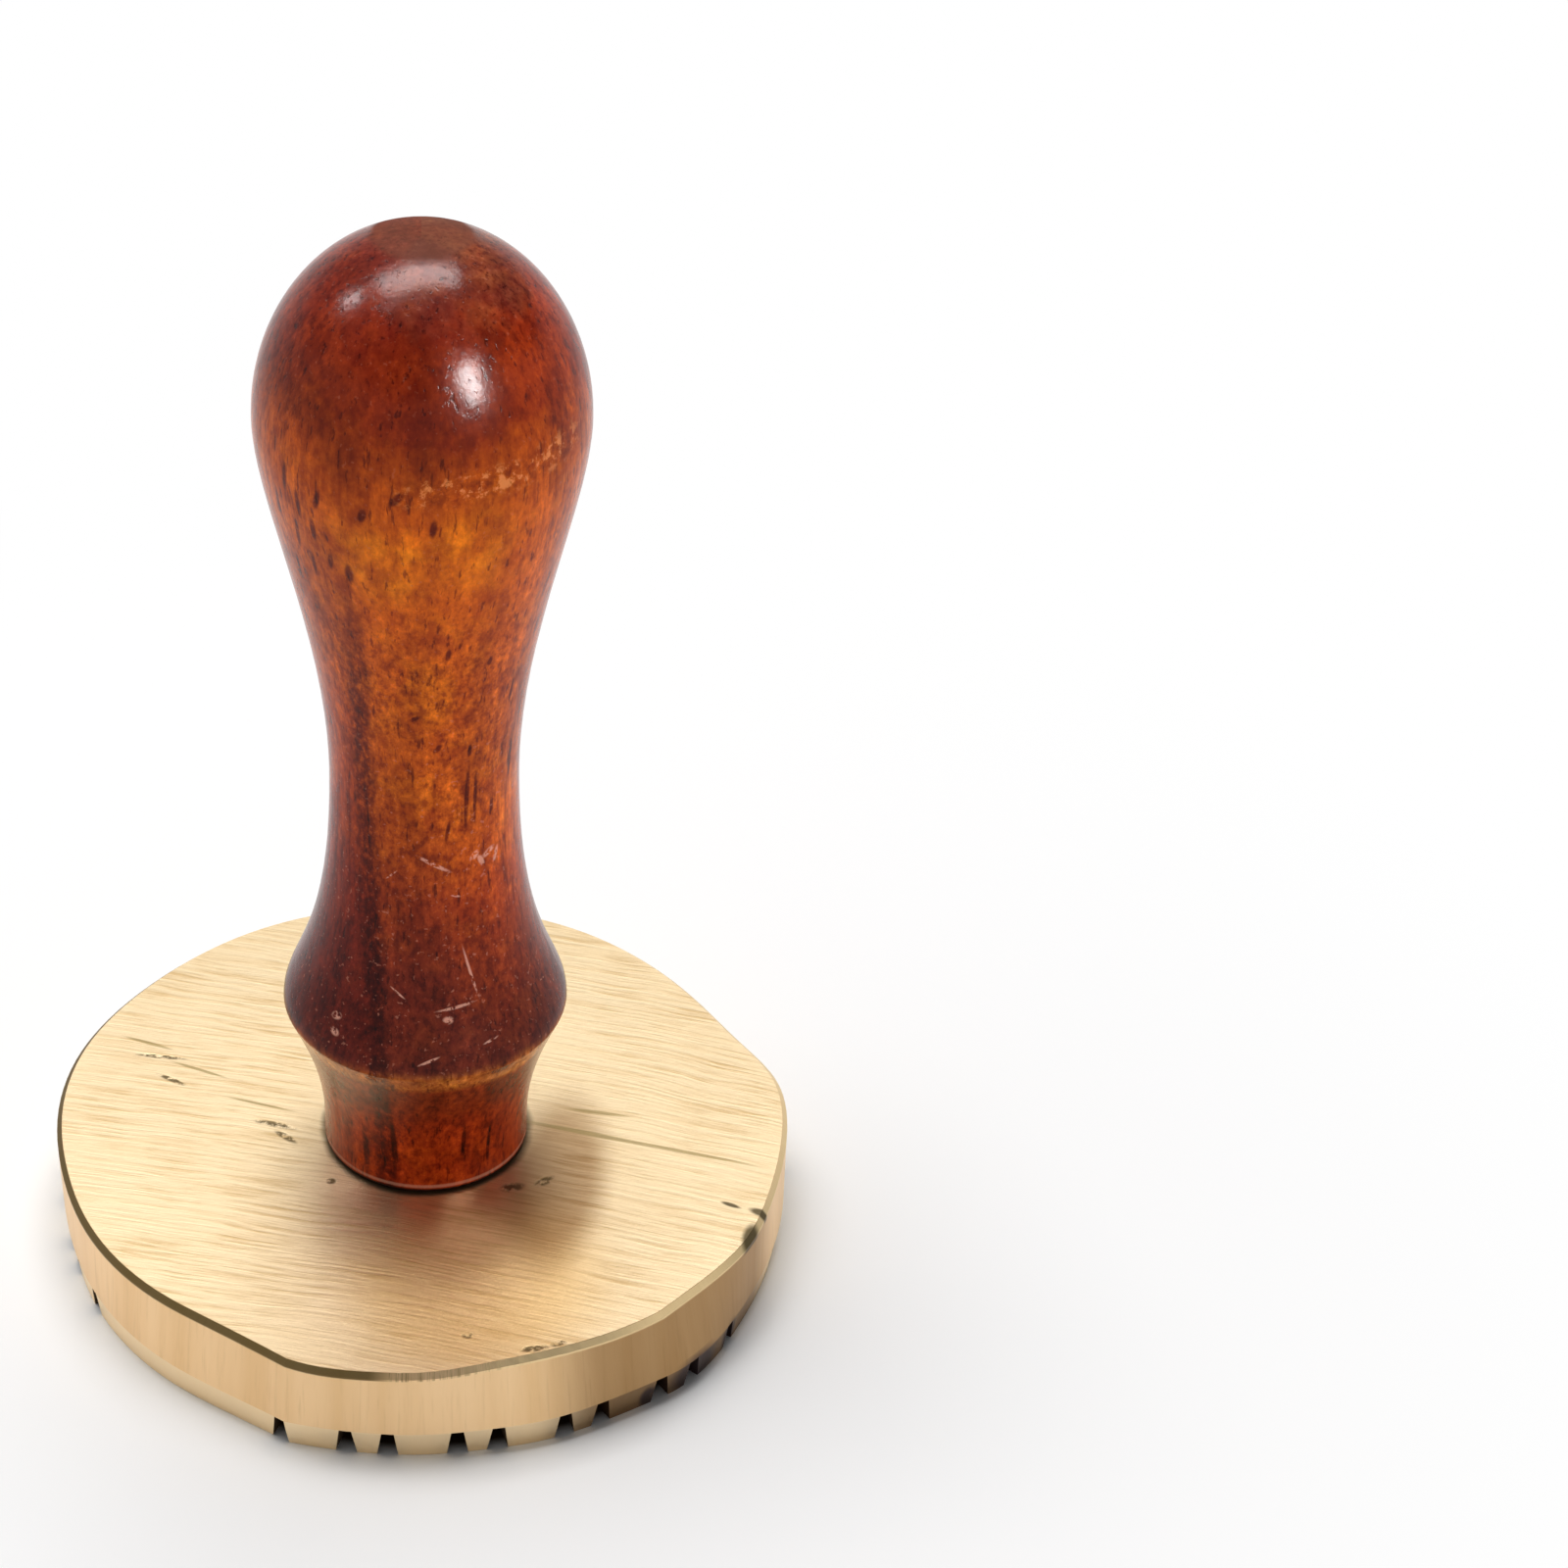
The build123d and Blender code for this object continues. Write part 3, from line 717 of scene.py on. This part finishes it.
# A painted shadow of the handle to the right of the foot
PLATE_PAINTED_SHADOW = ((11.2, -7.5, 82, 15.0, 5.6),)
PAINTED_SHADOW_STRENGTH = 0.75
PAINTED_SHADOW_TONE = (0.42, 0.30, 0.20)
PLATE_SCRATCHES = (
    (14.6, -1.2, -17.9, 8.0, 0.42), (21.6, -3.4, -17.7, 9.6, 0.30), (15.0, 1.8, -12, 3.6, 0.32),
    (-24.6, 12.0, -24, 3.0, 0.26), (-20.0, 8.2, -26, 3.4, 0.24), (-14.6, 3.4, -20, 4.0, 0.22),
)
SCRATCH_STRENGTH = 0.75
SCRATCH_COLOUR = (0.34, 0.25, 0.10)
PLATE_PITS = (
    (-23.4, 10.1, -9, 2.8, 0.34), (-22.4, 6.9, -33, 1.9, 0.36), (-13.2, 0.6, -18, 2.4, 0.50),
    (-12.2, -1.1, -42, 1.6, 0.46), (-8.2, -7.1, 10, 0.55, 0.50), (7.4, -8.2, 15, 1.4, 0.75),
    (10.2, -7.4, 35, 1.3, 0.60), (3.4, -27.1, 0, 0.60, 0.45), (8.9, -28.8, 8, 1.6, 0.5),
    (10.9, -28.2, 20, 0.9, 0.45),
)
PIT_BREAKS = (0.38, 0.56)
PIT_STRENGTH = 0.9
PIT_COLOUR = (0.12, 0.08, 0.03)
# The ring of painted contact shadow round the foot: where it fades out and in, how much, and its colour
CONTACT_SHADOW_RING_OUTER = (9.3, 10.0, 0.8, 0.0)
CONTACT_SHADOW_RING_INNER = (7.9, 8.6, 0.2, 1.0)
CONTACT_SHADOW_RING_COLOUR = (0.10, 0.055, 0.025)
# Black nicks where the saw left the right of the rim, above this level
PLATE_NICKS = ((26.2, -10.8, -28, 1.2, 0.32), (28.8, -11.9, -28, 1.5, 0.60), (27.7, -15.0, 78, 2.2, 0.95))
NICK_LEVEL_FADE = (8.2, 8.5)
NICK_STRENGTH = 0.9
NICK_COLOUR = (0.07, 0.05, 0.02)

# The side: the radius at which its file marks are measured off, and its tones
SIDE_RADIUS = 32.0
SIDE_SQUASH = 0.05
SIDE_BAND_FADE = (0.40, 0.64)
SIDE_BRASS = ((0.880, 0.620, 0.350), (0.800, 0.540, 0.280))
FILE_FADE = (0.50, 0.75)
FILE_STRENGTH = 0.35
FILE_COLOUR = (0.60, 0.40, 0.20)
# Painted shade: where the right of the side is darkened, and how much
SHADED_RIGHT_TURNS = (0.26, 0.50, 1.05, 1.30)
RIGHT_PAINTED_SHADE = (0.50, 0.44, 0.36)

# The chamfer: its level, where it is burnt, burred and clean, and its colours
CHAMFER_LEVELS = (PLATE_SHOULDER - 0.26, PLATE_SHOULDER - 0.10, PLATE_TOP - 0.05, PLATE_TOP - 0.01)
CHAMFER_LEAST_RADIUS = 20.0
BURNT_TURN_FADE = (-0.16, -0.06)
BURR_FADE = (0.46, 0.62, 0.0, 0.75)
BURR_TURN_FADE = (0.40, 0.10)
BURNT_STRENGTH = 0.9
BURNT_COLOUR = (0.110, 0.075, 0.022)
CLEAN_TURN_FADE = (0.0, 0.3)
CLEAN_STRENGTH = 0.8
CLEAN_COLOUR = (0.860, 0.660, 0.360)

# The relief: its gold, lighter on the left as painted light and darker on the right as painted shade, the
# dirt and painted shade in it, and near-black patches of painted shade at the right of the front, in
# millimetres round the rim and up
RELIEF_GOLD_LIT_AND_SHADED = ((0.960, 0.760, 0.490), (0.320, 0.200, 0.100))
RELIEF_DIRT_AND_SHADE = (0.050, 0.022, 0.010)
DIRT_AND_SHADE_STRENGTH = 0.92
OUTWARD_FADE = (0.45, 0.75)
FACE_LEVEL = 0.3
# Painted shade: near-black patches on the relief at the right of the front, where a wide gap shows deep
# shadow
SHADE_PATCHES = ((25.2, 1.2, 0, 4.0, 2.6), (30.5, 1.2, 0, 1.6, 2.2), (20.0, 0.9, 0, 1.2, 1.6))
SHADE_PATCH_BREAKS = (0.30, 0.42)
SHADE_PATCH_LEVEL = PLATE_FOOT + 0.6
SHADE_PATCH_STRENGTH = 0.9
SHADE_PATCH_COLOUR = (0.060, 0.040, 0.042)
# How far a face's direction has to lean up or down to count as flat
FLAT_FACING = 0.9


def plate_places(nodes):
    """Where a point lies on the plate, and the noises that several looks share."""
    place, facing = model_place(nodes)
    x, y, z = nodes.separate(place)
    nx, ny, nz = nodes.separate(facing)
    turn = nodes.math("ARCTAN2", x, nodes.times(y, -1.0))
    round_rim = nodes.times(turn, SIDE_RADIUS)
    side = nodes.combine(round_rim, nodes.times(z, SIDE_SQUASH))
    return SimpleNamespace(
        place=place,
        x=x,
        y=y,
        z=z,
        nx=nx,
        ny=ny,
        nz=nz,
        turn=turn,
        flat=nodes.combine(x, y),
        radius=nodes.length(nodes.combine(x, y)),
        side=side,
        side_flat=nodes.combine(round_rim, z),
        is_top=nodes.math("GREATER_THAN", nz, FLAT_FACING),
        patches=nodes.noise(place, 0.13, detail=3.0, roughness=0.55),
        bands=nodes.noise(side, 0.16, detail=3.0, roughness=0.6),
        file_lines=nodes.noise(side, 2.6, detail=4.0, roughness=0.6),
        shaded_right=nodes.zone(turn, *SHADED_RIGHT_TURNS),
    )


def saw_lines(nodes, plate):
    """Fine lines across the top, a little wavy, that run down to the right."""
    wave = nodes.minus(nodes.noise(plate.place, 0.07), 0.5)
    bend = nodes.times(plate.x, plate.x, LINE_BEND)
    sloped = nodes.plus(nodes.plus(plate.y, nodes.times(plate.x, LINE_SLOPE)), bend)
    across = nodes.plus(sloped, nodes.times(wave, LINE_WAVER))
    along_scale, across_scale = LINE_SCALES
    place = nodes.combine(nodes.times(plate.x, along_scale), nodes.times(across, across_scale))
    return nodes.noise(place, 1.0, detail=5.0, roughness=0.72)


def top_look(nodes, plate, lines):
    """The top's colour, with a painted tint of the handle's reflection, painted shadow beside and round
    the foot, scratches and pits. Also gives the pits.
    """
    line_share = nodes.times(nodes.band(lines, *LINE_FADE), nodes.band(plate.patches, *LINE_PATCHES))
    colour = nodes.mix(line_share, *TOP_BRASS)
    # Painted reflection: the handle's reflection made more golden
    colour = nodes.tinted(colour, nodes.marks(plate.flat, PLATE_REFLECTION_TINT), REFLECTION_TINT_TONE)
    # Painted shadow to the right of the foot
    painted_shadow_share = nodes.times(nodes.marks(plate.flat, PLATE_PAINTED_SHADOW), PAINTED_SHADOW_STRENGTH)
    colour = nodes.tinted(colour, painted_shadow_share, PAINTED_SHADOW_TONE)
    # Painted contact shadow: a dark ring round the foot
    painted_contact_shadow = nodes.times(nodes.band(nodes.plus(plate.radius, plate.patches), *CONTACT_SHADOW_RING_OUTER),
                       nodes.band(plate.radius, *CONTACT_SHADOW_RING_INNER))
    colour = nodes.mix(painted_contact_shadow, colour, CONTACT_SHADOW_RING_COLOUR)
    scratches = nodes.times(nodes.marks(plate.flat, PLATE_SCRATCHES), SCRATCH_STRENGTH)
    colour = nodes.mix(scratches, colour, SCRATCH_COLOUR)
    breaks = nodes.band(nodes.noise(plate.place, 1.3, detail=4.0, roughness=0.65), *PIT_BREAKS)
    pits = nodes.times(nodes.marks(plate.flat, PLATE_PITS), breaks)
    return nodes.mix(nodes.times(pits, PIT_STRENGTH), colour, PIT_COLOUR), pits


def side_look(nodes, plate):
    """The side's colour, filed upright in bands of slightly different tone, with painted shade on the
    right.
    """
    colour = nodes.mix(nodes.band(plate.bands, *SIDE_BAND_FADE), *SIDE_BRASS)
    filed = nodes.times(nodes.band(plate.file_lines, *FILE_FADE), FILE_STRENGTH)
    colour = nodes.mix(filed, colour, FILE_COLOUR)
    # Painted shade on the right
    return nodes.tinted(colour, plate.shaded_right, RIGHT_PAINTED_SHADE)


def chamfer_look(nodes, plate, colour):
    """The chamfer: burnt dark on the left, burred in front, clean on the right, then the
    nicks. Also gives where it is burnt."""
    beyond = nodes.math("GREATER_THAN", plate.radius, CHAMFER_LEAST_RADIUS)
    on_chamfer = nodes.times(nodes.zone(plate.z, *CHAMFER_LEVELS), beyond)
    burr_noise = nodes.noise(plate.side, 2.0, detail=4.0, roughness=0.7)
    burrs = nodes.times(nodes.band(burr_noise, *BURR_FADE), nodes.band(plate.turn, *BURR_TURN_FADE))
    left = nodes.fall(plate.turn, *BURNT_TURN_FADE)
    burnt = nodes.times(on_chamfer, nodes.math("MAXIMUM", left, burrs))
    colour = nodes.mix(nodes.times(burnt, BURNT_STRENGTH), colour, BURNT_COLOUR)
    clean = nodes.times(on_chamfer, nodes.band(plate.turn, *CLEAN_TURN_FADE), CLEAN_STRENGTH)
    colour = nodes.mix(clean, colour, CLEAN_COLOUR)
    nicks = nodes.times(nodes.marks(plate.flat, PLATE_NICKS), nodes.band(plate.z, *NICK_LEVEL_FADE))
    return nodes.mix(nodes.times(nicks, NICK_STRENGTH), colour, NICK_COLOUR), burnt


def relief_look(nodes, plate, colour):
    """The relief: gold on its edges, lighter on the left and darker on the right as painted light and
    shade, dirt and painted shade in its gaps, bright on its faces, and a painted shade patch at the
    right. Also gives where it has dirt and painted shade."""
    in_relief = nodes.math("LESS_THAN", plate.z, PLATE_FOOT + 0.01)
    # Painted light and shade: lighter gold on the left, dark on the right
    colour = nodes.mix(in_relief, colour, nodes.mix(plate.shaded_right, *RELIEF_GOLD_LIT_AND_SHADED))
    across = nodes.plus(nodes.times(plate.nx, plate.x), nodes.times(plate.ny, plate.y))
    outward = nodes.math("DIVIDE", across, nodes.math("MAXIMUM", plate.radius, 0.1))
    is_face = nodes.times(nodes.math("LESS_THAN", plate.nz, -FLAT_FACING),
                          nodes.math("LESS_THAN", plate.z, FACE_LEVEL))
    is_clean = nodes.math("MAXIMUM", is_face, nodes.band(outward, *OUTWARD_FADE))
    # Dirt and painted shade in the relief's hollows
    dirt_and_shade = nodes.times(in_relief, nodes.minus(1.0, is_clean))
    colour = nodes.mix(nodes.times(dirt_and_shade, DIRT_AND_SHADE_STRENGTH), colour, RELIEF_DIRT_AND_SHADE)
    # Painted shade: near-black patches at the right of the front
    painted_shade_patch = nodes.times(nodes.marks(plate.side_flat, SHADE_PATCHES),
                        nodes.band(plate.patches, *SHADE_PATCH_BREAKS),
                        nodes.math("LESS_THAN", plate.z, SHADE_PATCH_LEVEL))
    return nodes.mix(nodes.times(painted_shade_patch, SHADE_PATCH_STRENGTH), colour, SHADE_PATCH_COLOUR), dirt_and_shade


def engraved_brass():
    """Pale brass, sawn and brushed on top, filed at the rim, with dirt and painted shade in the relief,
    and painted shadow, shade and reflection on the top and the side.
    """
    material, nodes, shader = new_material("engraved_brass_look")
    plate = plate_places(nodes)
    lines = saw_lines(nodes, plate)
    top_colour, pits = top_look(nodes, plate, lines)
    colour = nodes.mix(plate.is_top, side_look(nodes, plate), top_colour)
    colour, burnt = chamfer_look(nodes, plate, colour)
    colour, dirt_and_shade = relief_look(nodes, plate, colour)
    nodes.put(shader.inputs["Base Color"], colour)
    set_constants(shader, Metallic=1.0)

    rough = nodes.plus(0.42, nodes.times(nodes.minus(lines, 0.5), 0.3))
    rough = nodes.between(dirt_and_shade, rough, 0.75)
    nodes.put(shader.inputs["Roughness"], nodes.between(burnt, rough, 0.6))
    top_height = nodes.minus(nodes.times(lines, plate.is_top), nodes.times(pits, 0.6))
    filed = nodes.plus(plate.file_lines, plate.bands)
    side_height = nodes.times(filed, nodes.minus(1.0, plate.is_top), 0.4)
    relief = nodes.bump(nodes.plus(top_height, side_height), strength=1.0, distance=0.035)
    nodes.put(shader.inputs["Normal"], relief)
    return material


# Colours of the stud and the insert, clean and dull, and the radii of the thread's roots
ZINC = ((0.60, 0.60, 0.61), (0.50, 0.51, 0.54))
ROOT_COLOUR = (0.20, 0.18, 0.15)
ROOT_STRENGTH = 0.7
ROOT_FADE = (2.45, 2.85)
INSERT_BRASS = ((0.84, 0.64, 0.34), (0.62, 0.42, 0.18))


def zinc_steel():
    """Zinc-plated steel, dull in the thread's roots."""
    material, nodes, shader = new_material("zinc_steel_look")
    place = model_place(nodes)[0]
    x, y, z = nodes.separate(place)
    root = nodes.fall(nodes.length(nodes.combine(x, y)), *ROOT_FADE)
    blotch = nodes.noise(place, 0.5, detail=3.0, roughness=0.6)
    colour = nodes.mix(nodes.times(root, ROOT_STRENGTH), nodes.mix(blotch, *ZINC), ROOT_COLOUR)
    nodes.put(shader.inputs["Base Color"], colour)
    set_constants(shader, Metallic=1.0)
    rough = nodes.band(blotch, 0.3, 0.7, 0.24, 0.36)
    nodes.put(shader.inputs["Roughness"], nodes.between(root, rough, 0.5))
    turned = nodes.stretched(place, (0.4, 0.4, 9.0), detail=3.0)
    nodes.put(shader.inputs["Normal"], nodes.bump(turned, strength=0.5, distance=0.02))
    return material


def turned_brass():
    """Machined brass with the lathe's fine rings."""
    material, nodes, shader = new_material("turned_brass_look")
    place = model_place(nodes)[0]
    tarnish = nodes.noise(place, 0.35, detail=4.0, roughness=0.6)
    nodes.put(shader.inputs["Base Color"], nodes.mix(nodes.band(tarnish, 0.4, 0.7), *INSERT_BRASS))
    set_constants(shader, Metallic=1.0)
    nodes.put(shader.inputs["Roughness"], nodes.band(tarnish, 0.3, 0.7, 0.22, 0.40))
    rings = nodes.stretched(place, (0.3, 0.3, 8.0), detail=3.0)
    nodes.put(shader.inputs["Normal"], nodes.bump(rings, strength=0.5, distance=0.02))
    return material


def dress(node_name, material):
    """Gives a CAD node its material."""
    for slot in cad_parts[node_name].material_slots:
        slot.material = material


bpy.context.scene.view_settings.view_transform = "Standard"
make_camera()
make_world()
make_lamps()
make_floor()
dress("die_plate", engraved_brass())
dress("threaded_stud", zinc_steel())
dress("threaded_insert", turned_brass())
dress("handle", lacquered_wood())
